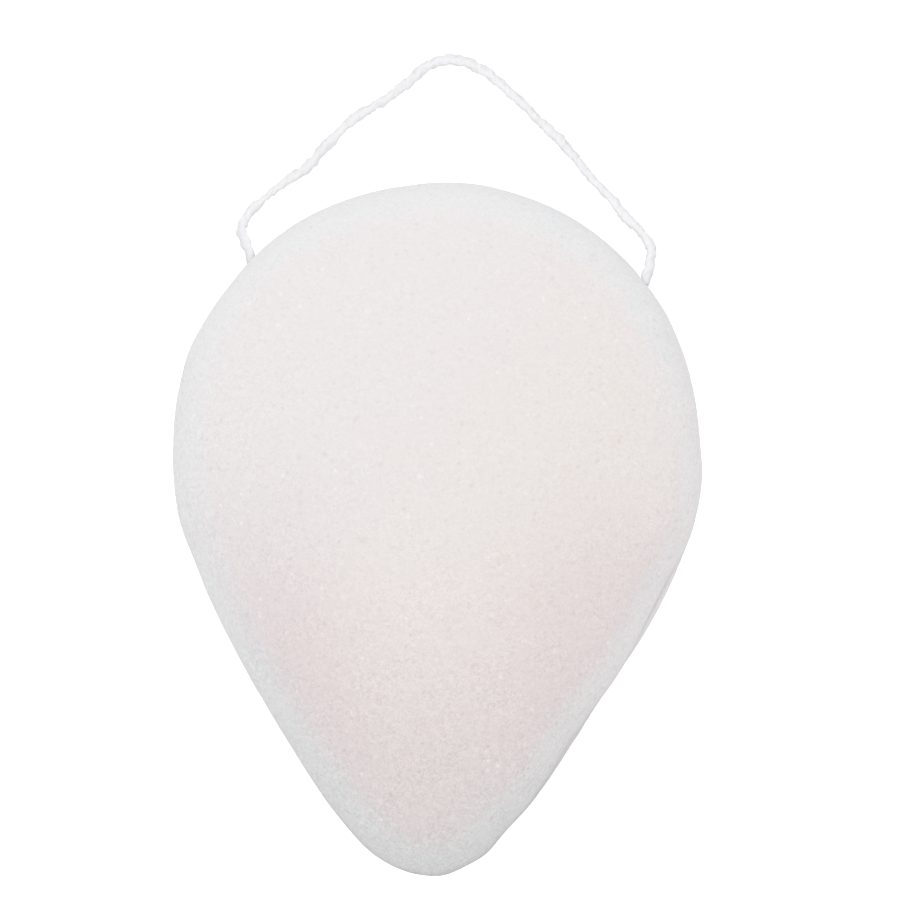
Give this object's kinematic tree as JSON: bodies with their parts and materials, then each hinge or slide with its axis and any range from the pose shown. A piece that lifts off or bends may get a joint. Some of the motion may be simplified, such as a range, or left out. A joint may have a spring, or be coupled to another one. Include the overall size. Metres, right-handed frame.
{
  "type": "konjac sponge",
  "caption": "Teardrop konjac cleansing sponge with a flat back, rounded rim and crowned front, and a thin cotton string threaded across its head as a hanging loop.",
  "frame": {"origin": "on the flat back face, in the middle of the sponge's width and length", "axes": "+Z out of the back through the crown, +Y from the tip to the head, where the string is, +X across the head"},
  "size_m": [0.08, 0.1232, 0.024],
  "materials": {
    "konjac_foam": "matte open-cell plant-fibre foam, off-white",
    "cotton": "soft twisted cotton, undyed white"
  },
  "bodies": {
    "sponge": {"sponge_body": "konjac_foam", "threaded_string": "cotton", "string_knot": "cotton"},
    "loop": {"hanging_loop": "cotton"}
  },
  "joints": [
    {"name": "loop_swing", "type": "hinge", "parent": "sponge", "child": "loop", "pos_m": [0, 0.0392, 0.006], "axis": [0.9996, -0.0297, 0], "range_deg": [0, 105]}
  ]
}
